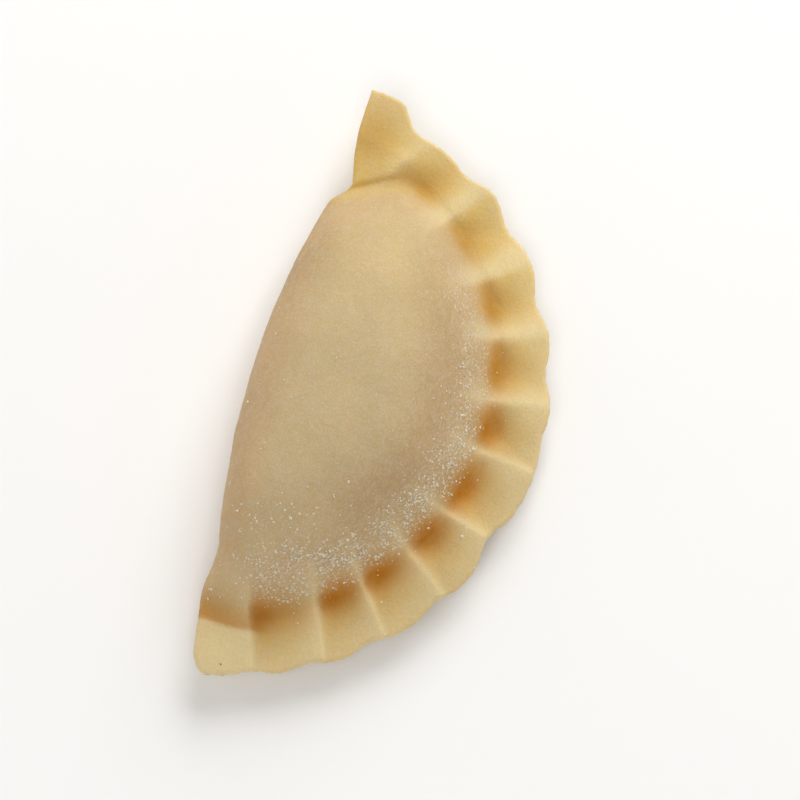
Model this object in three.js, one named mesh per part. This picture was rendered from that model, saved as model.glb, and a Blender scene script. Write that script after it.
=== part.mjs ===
// A raw pierogi: a disc of dough folded once over its filling into a half moon, the round edge pressed
// into a crimped rim, the two corners left as flat horns. It lies on its side, belly down.
//
// Millimetres, +Z up. +X runs along the fold to the pointed horn, and -Y out to the crimped rim.
// The shape is worked out about the centre of the cut disc, with `out` standing for -Y, and is then
// moved so that the origin is the bottom centre of the bounding box.

import * as THREE from "three";

// The cut disc and its outline once folded.
const DISC_RADIUS = 44.3;
const HORN_ANGLE = 80.9; // degrees, from the middle of the rim to either horn tip
const RADIUS_TREND = 0.27; // the rim is this much wider at the blunt horn, and narrower at the pointed one
const RIM_WIDTH = 7.0; // pressed rim, from the foot of the body to the edge
const FOOT_RADIUS = DISC_RADIUS - RIM_WIDTH;
const MID_RIM = DISC_RADIUS - RIM_WIDTH / 2;
const PINCH = { angle: 64, spread: 8, depth: 1.5 }; // the rim is drawn in beside the pointed horn
const NOTCH = { spread: 2.3, widening: 1.5 }; // degrees, and degrees more for each millimetre of depth
const SHOULDER = { angle: 75, spread: 3.5, rise: 0.8 }; // the pointed horn's edge is full here

// The fold line: a bow along the body, and a straight edge along each horn.
const FOLD_BOW = { middle: -3, half: 34, start: 1.65, rise: 5.15 };
const POINTED_HORN = {
  root: 29.4,
  rootOut: 8.0,
  tipOut: 7.06,
  bow: 0.75,
  step: 3.4,
  past: 0.6,
  tipRound: 0.4,
};
const BLUNT_HORN = { root: -33.5, rootOut: 3.5, slope: 0.16, step: 8, tipRound: 3.2 };

// The creases where the filled body ends against each horn: a point on each, and its direction.
const POINTED_CREASE = { x: 28.8, out: 8.1, along: [3.0, 6.2], reach: 36, power: 3.4 };
const BLUNT_CREASE = { x: -36.3, out: 5.1, along: [0.4, 7.8], reach: 30, power: 3.3 };
const CREASE_BELLY = { out: 9.5, spread: 4.5, by: 0.7 }; // the blunt crease bulges out to the horn

// The filled body: half its thickness, and how it falls to the rim.
const BODY_HALF = 12.8;
const BODY_REACH = 25; // from the foot of the slope to the level top
const BODY_POWER = 2.7; // the higher, the steeper the foot
const CORNER_NORM = 5; // how the slopes join in the corners
const FILLET = 1.2; // between the body's foot and the rim
const NOSE_SHARE = 0.8; // width of the rounded fold, as a share of the half thickness there
const NOSE_LEAST = 1.1;

// The middle of the dough: high in the body, lower in the rim, lifted at the pointed horn.
const BODY_LEVEL = 8.7;
const RIM_LEVEL = 6.0;
const RIM_DROOP = 0.15; // fall for each millimetre outwards
const LEVEL_START = -1; // distances in from the rim's foot, over which the middle rises
const LEVEL_REACH = 17;
const LEVEL_SLOPE = 1.6; // at the horns that distance is this many times the body's half thickness
const HORN_CURL = { start: 27, length: 17, lift: 3.2 };
const BLUNT_LIFT = { start: -33, length: 11, lift: 1.0 };
const CURL_POWER = 1.5;
const SETTLE = 1.5; // the belly rounds up from the table through this height

// The pressed rim, half above and half below the middle of the dough.
const RIM_TOP = 0.85;
const RIM_BELOW = 1.0;
const EDGE_THIN = 0.45; // thickness of the rim at the edge, as a share of that at the foot
const CREST_TOP = [1.4, 1.2]; // sharp crests, and soft ones
const CREST_BELOW = 0.7;
const CREST_FADE = [29, 35.5]; // the crests rise out of the body between these radii
const EDGE_SHARE = [0.35, 0.7]; // height of a crest at the edge, as a share of that at the foot
const EDGE_ROUND = 0.7;
const CREST_SHARPNESS = 1.6;
const CREST_ROUND = 0.07; // how far a sharp crest is rounded, as a share of the way to its hollow
const DIMPLE = { radius: 36.4, along: 2.6, across: 2.2, least: 0.2, most: 0.7, through: 0.4 };

// One row for each crest: its angle, its lean off the radius, the dimple's place on the way to the next
// one, how many degrees past the crest the edge is notched, and how deep the notch is. The first and the
// last stand beyond the horn tips, so that the horns are hollow panels.
const CRESTS = [
  { angle: 88, lean: 0, dimple: 0.6, notch: 0, depth: 0 },
  { angle: 66.8, lean: -8, dimple: 0.47, notch: -2.9, depth: 1.15 },
  { angle: 51.5, lean: 4, dimple: 0.37, notch: -4.7, depth: 1.2 },
  { angle: 35.6, lean: 7, dimple: 0.47, notch: -7.5, depth: 1.25 },
  { angle: 21.2, lean: 3, dimple: 0.5, notch: -6.4, depth: 1.2 },
  { angle: 7.1, lean: 9, dimple: 0.56, notch: -6.5, depth: 1.1 },
  { angle: -5.5, lean: 3, dimple: 0.62, notch: -6.5, depth: 0.5 },
  { angle: -20.8, lean: 10, dimple: 0.6, notch: 0, depth: 1.6 },
  { angle: -34, lean: -1, dimple: 0.75, notch: 1.6, depth: 0.7 },
  { angle: -47, lean: -5, dimple: 0.64, notch: 2.5, depth: 0.8 },
  { angle: -58.6, lean: -8, dimple: 0.84, notch: 2.9, depth: 0.7 },
  { angle: -72.6, lean: 1, dimple: 0.95, notch: -0.5, depth: 0.6 },
  { angle: -97, lean: 0, dimple: 0.5, notch: 0, depth: 0 },
];
const SOFT_CREST_ABOVE = 35; // degrees: crests are soft beyond this angle, and sharp below the next
const SHARP_CREST_BELOW = -10;
const FIRST_CREST = { angle: 66.8, spread: 8, sharp: 0.65 }; // a fold at the pointed horn, sharper again
const OUTER_DIMPLE = [0.93, 0.55]; // where the hollow lies at the edge: after sharp crests, and soft ones

// Broad lumps that the filling makes: place, spread and height.
const LUMPS = [
  { x: -1, out: 17, spread: 18, height: 1.4 },
  { x: 9, out: 15, spread: 9, height: 0.25 },
  { x: -20, out: 24, spread: 6.5, height: -0.9 },
  { x: 2, out: 27, spread: 7, height: -0.35 },
  { x: 22, out: 17, spread: 6, height: -0.3 },
  { x: 36.5, out: 10.5, spread: 3.5, height: -0.4 },
];

// The mesh: sections for each panel between two crests, and steps along each section, first from the
// fold to the turn radius and then straight out to the edge.
const PANEL_SECTIONS = 8;
const BODY_STEPS = 12;
const RIM_STEPS = 10;
const TURN_RADIUS = 33;
const LEAST_BODY_RUN = 0.5; // from a section's bend to its turn
const BODY_STEP_EVENNESS = 0.35; // the other steps crowd towards the fold
const STATION_SPREAD = 0.82; // the rest of the stations' spread crowds into the body, off the horns
const STATION_POWER = 6;
const LEAST_STATION = 1e-3; // keeps the middle section off a division by zero

const DEGREE = Math.PI / 180;

function clamp01(t) {
  return Math.min(1, Math.max(0, t));
}

function mix(a, b, t) {
  return a + (b - a) * t;
}

function ease(from, to, value) {
  const t = clamp01((value - from) / (to - from));
  return t * t * (3 - 2 * t);
}

// The larger of two heights, with a fillet of about `width` where they meet.
function smoothMax(a, b, width) {
  const t = clamp01(0.5 + (a - b) / (2 * width));
  return mix(b, a, t) + width * t * (1 - t);
}

// A quarter of an ellipse, from 0 at an edge to 1 at `width` from it.
function rounded(distance, width) {
  const t = 1 - clamp01(distance / width);
  return Math.sqrt(1 - t * t);
}

function bell(distance, spread) {
  return Math.exp(-((distance / spread) ** 2));
}

// The crests' lean at an angle, as the sideways run of a crest for each millimetre inwards.
function leanAt(angle) {
  const { from, to, phase } = panelAt(angle);
  return Math.tan(mix(from.lean, to.lean, phase) * DEGREE);
}

// How far a leaning crest has turned at a radius, in degrees, from where it crosses mid-rim.
function leanTurn(radius, angle) {
  const near = Math.max(radius, CREST_FADE[0]);
  return ((MID_RIM - near) * leanAt(angle)) / near / DEGREE;
}

// The two crests on either side of an angle, and where it lies between them, from 0 to 1.
function panelAt(angle) {
  let index = 0;
  while (index < CRESTS.length - 2 && angle < CRESTS[index + 1].angle) {
    index += 1;
  }
  const from = CRESTS[index];
  const to = CRESTS[index + 1];
  const isHorn = index === 0 || index === CRESTS.length - 2;
  return { from, to, phase: clamp01((from.angle - angle) / (from.angle - to.angle)), isHorn };
}

// How soft the crests are at an angle, from 0 to 1.
function softnessAt(angle) {
  const sharp = FIRST_CREST.sharp * bell(angle - FIRST_CREST.angle, FIRST_CREST.spread);
  return ease(SHARP_CREST_BELOW, SOFT_CREST_ABOVE, angle) * (1 - sharp);
}

// 1 on a crest and 0 in the hollow: a long fall from one crest, then a short rise to the next.
function crestHeight(angle, radius) {
  const { from, phase, isHorn } = panelAt(angle);
  const softness = softnessAt(angle);
  const outward = isHorn ? 0 : ease(FOOT_RADIUS - 1, DISC_RADIUS, radius);
  const hollow = mix(from.dimple, mix(...OUTER_DIMPLE, softness), outward);
  const away = phase < hollow ? phase / hollow : (1 - phase) / (1 - hollow);
  const soft = 0.5 * (1 + Math.cos(Math.PI * away));
  const blunted = (Math.hypot(away, CREST_ROUND) - CREST_ROUND) / (Math.hypot(1, CREST_ROUND) - CREST_ROUND);
  const sharp = Math.max(0, 1 - blunted) ** CREST_SHARPNESS;
  return mix(sharp, soft, softness);
}

// The scalloped edge of the rim, as a radius from the centre of the disc.
function edgeRadius(angle) {
  const trend = (RADIUS_TREND * angle) / HORN_ANGLE;
  const pinch = PINCH.depth * bell(angle - PINCH.angle, PINCH.spread);
  const shoulder = SHOULDER.rise * bell(angle - SHOULDER.angle, SHOULDER.spread);
  const notches = CRESTS.reduce((sum, { angle: crest, notch, depth }) => {
    const spread = NOTCH.spread + NOTCH.widening * depth;
    return sum + depth * bell(angle - crest + notch, spread);
  }, 0);
  return DISC_RADIUS - trend - pinch + shoulder - notches;
}

// The fold line, as its distance out from the centre of the disc.
function foldOut(x) {
  const { middle, half, start, rise } = FOLD_BOW;
  const bow = start + rise * ((x - middle) / half) ** 2;
  const pointed = POINTED_HORN;
  const tip = edgePoint(HORN_ANGLE).x;
  const along = (x - pointed.root) / (tip - pointed.root);
  const bulge = pointed.bow * Math.sin(Math.PI * clamp01(along));
  const fin = mix(pointed.rootOut, pointed.tipOut, along) - bulge;
  const blunt = BLUNT_HORN;
  const flap = blunt.rootOut + blunt.slope * (blunt.root - x);
  const toFin = ease(pointed.root - pointed.step, pointed.root + pointed.past, x);
  const toFlap = ease(blunt.root + blunt.step, blunt.root, x);
  return mix(mix(bow, fin, toFin), flap, toFlap);
}

function polar(radius, angle) {
  return { x: radius * Math.sin(angle * DEGREE), out: radius * Math.cos(angle * DEGREE) };
}

function edgePoint(angle) {
  return polar(edgeRadius(angle), angle);
}

// A point on the fold for a station between -1, the blunt horn's tip, and 1, the pointed one's. The
// stations crowd together where the fold rounds into a tip.
function foldPoint(station) {
  const side = Math.sign(station) || 1;
  const round = side > 0 ? POINTED_HORN.tipRound : BLUNT_HORN.tipRound;
  const tip = edgePoint(side * HORN_ANGLE);
  const straight = Math.abs(tip.x) - round;
  const roundShare = (2 * round) / (straight + 2 * round);
  const share = mix(Math.abs(station) ** STATION_POWER, Math.abs(station), STATION_SPREAD);
  if (1 - share >= roundShare) {
    const x = (side * straight * share) / (1 - roundShare);
    return { x, out: foldOut(x) };
  }
  const t = (1 - share) / roundShare;
  const x = side * (straight + round * (1 - t * t));
  const turn = Math.sqrt(1 - (1 - t * t) ** 2);
  return { x, out: mix(tip.out, foldOut(x), turn) };
}

// A section in plan: it leaves the fold squarely, bends onto the radius, and follows the lean of the
// crests straight out to the edge.
function section(angle) {
  const station = angle / HORN_ANGLE;
  const used = Math.abs(station) < LEAST_STATION ? LEAST_STATION : station;
  const fold = foldPoint(station);
  const bendRadius = foldPoint(used).x / Math.sin(used * HORN_ANGLE * DEGREE);
  const edge = edgeRadius(angle);
  const bend = Math.min(bendRadius, edge);
  const turn = Math.min(edge, Math.max(TURN_RADIUS, bend + LEAST_BODY_RUN));
  return { fold, angle, bend, turn, edge };
}

function crestLinePoint(radius, angle) {
  return polar(radius, angle - leanTurn(radius, angle));
}

// A point along a section, at a share of the way from the fold to its turn, or from there to the edge.
function bodyPoint({ fold, angle, bend, turn }, t) {
  const middle = crestLinePoint(bend, angle);
  const end = crestLinePoint(turn, angle);
  const weights = [(1 - t) ** 2, 2 * t * (1 - t), t * t];
  return {
    x: weights[0] * fold.x + weights[1] * middle.x + weights[2] * end.x,
    out: weights[0] * fold.out + weights[1] * middle.out + weights[2] * end.out,
  };
}

function rimPoint({ angle, turn, edge }, t) {
  return crestLinePoint(mix(turn, edge, t), angle);
}

function sectionPoint(curve, step) {
  if (step < BODY_STEPS) {
    const t = step / BODY_STEPS;
    return bodyPoint(curve, mix(1 - Math.cos((Math.PI / 2) * t), t, BODY_STEP_EVENNESS));
  }
  return rimPoint(curve, Math.sin(((Math.PI / 2) * (step - BODY_STEPS)) / RIM_STEPS));
}

// The angles of the sections: the same number in every panel, so that one runs along each crest.
function sectionAngles() {
  const stops = [HORN_ANGLE, ...CRESTS.slice(1, -1).map((crest) => crest.angle), -HORN_ANGLE];
  const angles = [];
  for (let k = 0; k + 1 < stops.length; k += 1) {
    for (let i = 0; i < PANEL_SECTIONS; i += 1) {
      angles.push(mix(stops[k], stops[k + 1], i / PANEL_SECTIONS));
    }
  }
  return [...angles, -HORN_ANGLE];
}

// How far the body falls short of its full height at a distance from the line where it ends.
function shortfall(distance, reach, power) {
  return Math.max(0, 1 - distance / reach) ** power;
}

function creaseDistance(crease, x, out) {
  const [ax, ao] = crease.along;
  const side = Math.sign(crease.x);
  const straight = (side * (ax * (out - crease.out) - ao * (x - crease.x))) / Math.hypot(ax, ao);
  if (side > 0) {
    return straight;
  }
  return straight + CREASE_BELLY.by * bell(out - CREASE_BELLY.out, CREASE_BELLY.spread);
}

// Half the thickness of the filled body, which goes below zero outside it.
function bodyHalf(x, out) {
  const falls = [
    shortfall(FOOT_RADIUS - Math.hypot(x, out), BODY_REACH, BODY_POWER),
    shortfall(creaseDistance(POINTED_CREASE, x, out), POINTED_CREASE.reach, POINTED_CREASE.power),
    shortfall(creaseDistance(BLUNT_CREASE, x, out), BLUNT_CREASE.reach, BLUNT_CREASE.power),
  ];
  const joined = falls.reduce((sum, fall) => sum + fall ** CORNER_NORM, 0) ** (1 / CORNER_NORM);
  return BODY_HALF * (1 - joined);
}

function lumps(x, out) {
  return LUMPS.reduce(
    (sum, lump) => sum + lump.height * bell(Math.hypot(x - lump.x, out - lump.out), lump.spread),
    0,
  );
}

// The thumb's dimple at the foot of the body, between two crests.
function dimple(radius, angle) {
  const { from, to, isHorn } = panelAt(angle);
  if (isHorn) {
    return 0;
  }
  const middle = mix(from.angle, to.angle, from.dimple);
  const depth = mix(DIMPLE.most, DIMPLE.least, softnessAt(angle));
  const across = bell(radius - DIMPLE.radius, DIMPLE.across);
  return depth * across * bell(radius * (angle - middle) * DEGREE, DIMPLE.along);
}

// Height of the middle of the dough above the table.
function level(x, out) {
  const radius = Math.hypot(x, out);
  const inside = Math.min(FOOT_RADIUS - radius, bodyHalf(x, out) * LEVEL_SLOPE);
  const inBody = ease(LEVEL_START, LEVEL_REACH, inside);
  const droop = RIM_DROOP * Math.max(0, radius - FOOT_RADIUS);
  const curl = HORN_CURL.lift * Math.max(0, (x - HORN_CURL.start) / HORN_CURL.length) ** CURL_POWER;
  const lift = BLUNT_LIFT.lift * Math.max(0, (BLUNT_LIFT.start - x) / BLUNT_LIFT.length) ** CURL_POWER;
  return mix(RIM_LEVEL - droop + curl + lift, BODY_LEVEL, inBody);
}

// The two surfaces at a plan point: `fromFold` is its distance from the fold, and `nose` is the width
// over which the fold is rounded there.
function surfaces({ x, out }, fromFold, nose) {
  const radius = Math.hypot(x, out);
  const angle = Math.atan2(x, out) / DEGREE;
  const straightened = angle + leanTurn(radius, angle);
  const crest = crestHeight(straightened, radius);
  const rise = ease(...CREST_FADE, radius);
  const outwards = clamp01((radius - FOOT_RADIUS) / RIM_WIDTH);
  const softness = softnessAt(straightened);
  const relief = crest * rise * mix(1, mix(...EDGE_SHARE, softness), outwards);
  const thin = mix(1, EDGE_THIN, outwards);
  const body = bodyHalf(x, out);
  const top = smoothMax(body, RIM_TOP * thin + mix(...CREST_TOP, softness) * relief, FILLET);
  const below = smoothMax(body, RIM_BELOW * thin + CREST_BELOW * relief, FILLET);
  const round =
    rounded(fromFold, nose) * rounded(edgeRadius(straightened) - radius, EDGE_ROUND);
  const middle = level(x, out);
  const pressed = dimple(radius, straightened);
  return {
    top: middle + round * (top - pressed + lumps(x, out)),
    below: smoothMax(middle - round * (below - DIMPLE.through * pressed), 0, SETTLE),
  };
}

// A closed skin: a top and a belly grid that share the fold, the edge and the two horn tips.
function pierogiGeometry() {
  const steps = BODY_STEPS + RIM_STEPS;
  const angles = sectionAngles();
  const positions = [];
  const indices = [];
  const addVertex = (point, z) => positions.push(point.x, -point.out, z) / 3 - 1;
  const top = angles.map(() => []);
  const belly = angles.map(() => []);
  angles.forEach((angle, i) => {
    const curve = section(angle);
    const nose = NOSE_LEAST + NOSE_SHARE * Math.max(0, bodyHalf(curve.fold.x, curve.fold.out));
    const atTip = i === 0 || i === angles.length - 1;
    for (let j = 0; j <= steps; j += 1) {
      if (atTip && j > 0) {
        top[i].push(top[i][0]);
        belly[i].push(top[i][0]);
        continue;
      }
      const point = sectionPoint(curve, j);
      const fromFold = Math.hypot(point.x - curve.fold.x, point.out - curve.fold.out);
      const heights = surfaces(point, fromFold, nose);
      const atSeam = atTip || j === 0 || j === steps;
      const upper = addVertex(point, atSeam ? level(point.x, point.out) : heights.top);
      top[i].push(upper);
      belly[i].push(atSeam ? upper : addVertex(point, heights.below));
    }
  });
  const addTriangle = (...corners) => {
    if (new Set(corners).size === corners.length) {
      indices.push(...corners);
    }
  };
  const addQuad = (a, b, c, d) => {
    addTriangle(a, b, c);
    addTriangle(a, c, d);
  };
  for (let i = 0; i + 1 < angles.length; i += 1) {
    for (let j = 0; j < steps; j += 1) {
      addQuad(top[i][j], top[i + 1][j], top[i + 1][j + 1], top[i][j + 1]);
      addQuad(belly[i][j], belly[i][j + 1], belly[i + 1][j + 1], belly[i + 1][j]);
    }
  }
  const geometry = new THREE.BufferGeometry();
  geometry.setAttribute("position", new THREE.Float32BufferAttribute(positions, 3));
  geometry.setIndex(indices);
  geometry.computeBoundingBox();
  const { min, max } = geometry.boundingBox;
  geometry.translate(-(min.x + max.x) / 2, -(min.y + max.y) / 2, -min.z);
  geometry.computeVertexNormals();
  return geometry;
}

const dough = new THREE.MeshStandardMaterial({ color: 0xd9bd8c, roughness: 0.78, metalness: 0 });

const pierogi = new THREE.Mesh(pierogiGeometry(), dough);
pierogi.name = "pierogi";

const model = new THREE.Group();
model.add(pierogi);

export default model;
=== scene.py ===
"""A raw pierogi on a pale floor: the crimped half moon of dough, dusted with flour.

The dough is one closed skin, worked out in millimetres about the centre of the cut disc with the
same named sizes as the CAD solid, and set into that solid's box. Flour grains lie on it.
"""

import math

import bpy
import numpy as np
from mathutils import Matrix, Vector, noise


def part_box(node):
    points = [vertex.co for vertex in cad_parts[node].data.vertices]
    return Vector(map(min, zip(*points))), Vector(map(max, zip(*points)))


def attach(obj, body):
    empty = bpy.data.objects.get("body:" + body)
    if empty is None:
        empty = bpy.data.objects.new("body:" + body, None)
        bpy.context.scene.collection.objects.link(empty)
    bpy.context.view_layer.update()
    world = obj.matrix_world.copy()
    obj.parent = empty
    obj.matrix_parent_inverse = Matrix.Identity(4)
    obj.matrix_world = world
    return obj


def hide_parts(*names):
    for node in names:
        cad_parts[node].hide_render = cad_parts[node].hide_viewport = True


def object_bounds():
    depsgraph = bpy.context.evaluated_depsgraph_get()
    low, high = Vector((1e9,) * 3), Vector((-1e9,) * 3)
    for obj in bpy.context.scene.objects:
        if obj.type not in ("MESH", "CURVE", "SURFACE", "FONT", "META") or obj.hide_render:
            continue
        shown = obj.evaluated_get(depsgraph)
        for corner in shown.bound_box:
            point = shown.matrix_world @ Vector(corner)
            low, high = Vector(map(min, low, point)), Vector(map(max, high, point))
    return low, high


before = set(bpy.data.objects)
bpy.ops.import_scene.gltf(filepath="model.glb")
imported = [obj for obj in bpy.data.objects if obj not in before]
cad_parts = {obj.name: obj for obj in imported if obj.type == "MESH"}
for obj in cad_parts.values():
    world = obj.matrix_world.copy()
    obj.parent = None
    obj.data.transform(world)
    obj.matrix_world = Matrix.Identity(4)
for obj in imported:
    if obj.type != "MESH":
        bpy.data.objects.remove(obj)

CAD_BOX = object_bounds()
NODE = "pierogi"
MM = 0.001
DEGREE = math.pi / 180

# ---- Sizes of the dumpling, in millimetres and degrees ---------------------------------------

# The cut disc. An angle round it is 0 at the middle of the rim and positive towards the pointed
# horn, and out is the distance from its centre across the fold, towards the rim.
DISC_RADIUS = 44.3
HORN_ANGLE = 80.9
RADIUS_TREND = 0.27  # how much nearer the edge is at the pointed tip, and farther at the blunt one
RIM_WIDTH = 7.0
FOOT_RADIUS = DISC_RADIUS - RIM_WIDTH
MID_RIM = DISC_RADIUS - RIM_WIDTH / 2
PINCH = dict(angle=64, spread=8, depth=1.5)  # the edge draws in before the pointed horn
SHOULDER = dict(angle=75, spread=3.5, rise=0.8)  # and stands out on it
NOTCH = dict(spread=2.3, widening=1.5)  # degrees, and degrees more for each millimetre of depth
# The cut edge is a little torn: how deep, at what wavelength, and from where it fades to the tips.
RAGGED = dict(depth=0.16, scale=0.9, fade=(1.0, 0.97), row=3.7)
EDGE_PER_DEGREE = 0.78  # millimetres of edge

# The fold: a parabola along the body, and each horn's own side, which starts at its root.
FOLD_BOW = dict(middle=-3, half=34, start=1.65, rise=5.15)
POINTED_HORN = dict(
    root=29.4, root_out=8.0, tip_out=7.06, bow=0.75, before_root=3.4, past_root=0.6, tip_round=0.4,
)
BLUNT_HORN = dict(root=-33.5, root_out=3.5, slope=0.16, step=8, tip_round=3.2)

# Where the body ends against each horn: a point and a direction of the line, how far in and how
# steeply the body swells from it, and how deep it is grooved.
POINTED_CREASE = dict(x=28.8, out=8.1, along=(3.0, 6.2), reach=36, power=3.4, groove=0.18)
BLUNT_CREASE = dict(x=-36.3, out=5.1, along=(0.4, 7.8), reach=30, power=3.3, groove=0.4)
CREASE_BELLY = dict(out=9.5, spread=4.5, by=0.7)  # the blunt crease bulges out to the horn
GROOVE = dict(width=0.45, inside=0.2, fade=(0.5, 3.5))  # it starts in from the foot

# The body: half its thickness, and how far in from the foot and how steeply it swells to that.
BODY_HALF = 12.8
BODY_REACH = 25
BODY_POWER = 2.7
CORNER_NORM = 5  # how sharply its three swells meet
FILLET = 1.2  # between the body and the rim
NOSE_SHARE = 0.8  # the fold's roundness, as a share of half the thickness there
NOSE_LEAST = 1.1

# Height of the middle of the dough above the table.
BODY_LEVEL = 8.7
RIM_LEVEL = 6.0
RIM_DROOP = 0.15
LEVEL_REACH = (-1, 17)  # in from the foot, or up the body's own thickness times LEVEL_SWELL
LEVEL_SWELL = 1.6
HORN_CURL = dict(start=27, length=17, lift=3.2)
BLUNT_LIFT = dict(start=-33, length=11, lift=1.0)
CURL_POWER = 1.5
SETTLE = 1.5  # fillet between the belly's flat patch and its swell

# The rim: its thickness above and below its middle, and the crimps on it.
RIM_TOP = 0.85
RIM_BELOW = 1.0
EDGE_THIN = 0.45  # share of the thickness that is left at the edge
EDGE_ROUND = 0.7
CREST_TOP = (1.4, 1.2)  # sharp crests, and soft ones
CREST_BELOW = 0.7
CREST_FADE = (29, 35.5)  # radius where a crest starts and where it is full
EDGE_SHARE = (0.35, 0.7)  # share of a sharp crest and of a soft one that is left at the edge
CREST_ROUND = 0.07
CREST_POINT = 1.6  # how fast a sharp crest falls off
DIMPLE = dict(radius=36.4, along=2.6, across=2.2, least=0.2, most=0.7, through=0.4)

# Painted highlight on the rise to each soft crest, the side that faces the light:
CREST_HIGHLIGHT = dict(start=0.58, full=0.9, end=0.13)  # shares of the way from one crest to the next
# Colour of a dimple, its wet stain with painted shade: how far it runs each way, and how it shrinks
# and fades in the last panel.
STAIN_AND_SHADE = dict(radius=36.0, inwards=1.5, outwards=1.8, to_crest=2.2, from_crest=3.8)
LAST_STAIN_AND_SHADE = dict(angles=(-60, -66), size=0.5, faint=0.6)

# Angle of each crest, its lean off the radius, the dimple's place on the way to the next one, and
# how far past the crest the edge is notched and how deep.
CREST_ROWS = [
    (88, 0, 0.6, 0, 0),
    (66.8, -8, 0.47, -2.9, 1.15),
    (51.5, 4, 0.37, -4.7, 1.2),
    (35.6, 7, 0.47, -7.5, 1.25),
    (21.2, 3, 0.5, -6.4, 1.2),
    (7.1, 9, 0.56, -6.5, 1.1),
    (-5.5, 3, 0.62, -6.5, 0.5),
    (-20.8, 10, 0.6, 0, 1.6),
    (-34, -1, 0.75, 1.6, 0.7),
    (-47, -5, 0.64, 2.5, 0.8),
    (-58.6, -8, 0.84, 2.9, 0.7),
    (-72.6, 1, 0.95, -0.5, 0.6),
    (-97, 0, 0.5, 0, 0),
]
CREST_ANGLES, CREST_LEANS, DIMPLE_PHASES, NOTCH_SHIFTS, NOTCH_DEPTHS = np.array(CREST_ROWS, float).T
SOFT_CREST_ABOVE = 35
SHARP_CREST_BELOW = -10
FIRST_CREST = dict(angle=66.8, spread=8, sharp=0.65)  # a sharp fold at the pointed horn
# Where the hollow lies at the edge, after a sharp crest and after a soft one, and how far short of
# the foot it starts to move there.
OUTER_DIMPLE = (0.93, 0.55)
HOLLOW_TURN = 1

# Place, spread and height of the broad lumps that the filling makes.
LUMPS = [
    (-1, 17, 18, 1.4),
    (9, 15, 9, 0.25),
    (-20, 24, 6.5, -0.9),
    (2, 27, 7, -0.35),
    (22, 17, 6, -0.3),
    (36.5, 10.5, 3.5, -0.4),
]

# The mesh: sections from the fold to the edge, which run along the crests outside TURN_RADIUS.
PANEL_SECTIONS = 26
BODY_STEPS = 84
RIM_STEPS = 54
TURN_RADIUS = 33
TURN_LEAST = 0.5
STATION_POWER = 6
STATION_SPREAD = 0.82
BODY_EVENNESS = 0.35
NEAR_MIDDLE = 1e-3

# The skin's own unevenness: wavelength and height of each octave, in millimetres.
SKIN_NOISE = [(7.0, 0.17), (2.6, 0.06), (1.1, 0.025)]
SMOOTH_BELOW = 1.5  # it fades out over the last millimetres down to the floor
SLOPE_RANGE = (0.93, 0.5)  # how upright the skin's normal is, for the painted shade on its steep sides

# Where the colours lie: millimetres in from the foot or the blunt crease, millimetres along x, and
# degrees round the disc. A pair is where a colour starts and where it is full.
RIM_TINT = (4.0, -1.5)
RIPE = (-6, 32)
# Painted shade in the scoops between the crests, on the moister dough's warmer colour:
SCOOP_SPREAD = 3.4
# Painted shade along the blunt crease:
CORNER_SHADE = dict(inside=(-0.4, 0.3), spread=2.6, angles=(-66, -74))
# Painted light on the flap past the blunt crease:
FLAP_HIGHLIGHT = dict(outside=(0.1, -0.6), angles=(-70, -74))
SHADE = dict(inside=9, spread=4.5, right=(26, 8), left=(-26, -14))
# How narrow the paler line and painted highlight on a sharp crest are:
CREST_HIGHLIGHT_POWER = 1.8
EDGE_SPREAD = 0.6
OUTER = (1, 0.5)  # past the foot, and short of the edge
# Painted shade along the foot of the body:
FOOT_SHADE = dict(inside=1.0, spread=(2.2, 1.4), narrows=(-5, 20), fades=(19, 27), least=0.15)


# ---- Small helpers ---------------------------------------------------------------------------

def clamp01(t):
    return np.clip(t, 0.0, 1.0)


def mix(a, b, t):
    return a + (b - a) * t


def ease(start, end, value):
    t = clamp01((value - start) / (end - start))
    return t * t * (3 - 2 * t)


def smooth_max(a, b, width):
    """The larger of two heights, with a fillet of about width where they meet."""
    t = clamp01(0.5 + (a - b) / (2 * width))
    return mix(b, a, t) + width * t * (1 - t)


def rounded(distance, width):
    """A quarter of an ellipse, from 0 at an edge to 1 at width from it."""
    t = 1 - clamp01(distance / width)
    return np.sqrt(np.maximum(0.0, 1 - t * t))


def bell(distance, spread):
    return np.exp(-((distance / spread) ** 2))


def polar(radius, angle):
    return radius * np.sin(angle * DEGREE), radius * np.cos(angle * DEGREE)


# ---- The rim's crimps ------------------------------------------------------------------------

def panel_at(angle):
    """Index of the crest before an angle, share of the way to the next, and whether it's a horn."""
    index = np.searchsorted(-CREST_ANGLES, -angle, side="right") - 1
    index = np.clip(index, 0, len(CREST_ANGLES) - 2)
    start, end = CREST_ANGLES[index], CREST_ANGLES[index + 1]
    is_horn = (index == 0) | (index == len(CREST_ANGLES) - 2)
    return index, clamp01((start - angle) / (start - end)), is_horn


def lean_turn(radius, angle):
    """Degrees that a leaning crest has turned at a radius, from where it crosses mid-rim."""
    index, phase, _ = panel_at(angle)
    lean = np.tan(mix(CREST_LEANS[index], CREST_LEANS[index + 1], phase) * DEGREE)
    near = np.maximum(radius, CREST_FADE[0])
    return (MID_RIM - near) * lean / near / DEGREE


def softness_at(angle):
    """How soft the crests are at an angle, from 0 to 1."""
    sharp = FIRST_CREST["sharp"] * bell(angle - FIRST_CREST["angle"], FIRST_CREST["spread"])
    return ease(SHARP_CREST_BELOW, SOFT_CREST_ABOVE, angle) * (1 - sharp)


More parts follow.
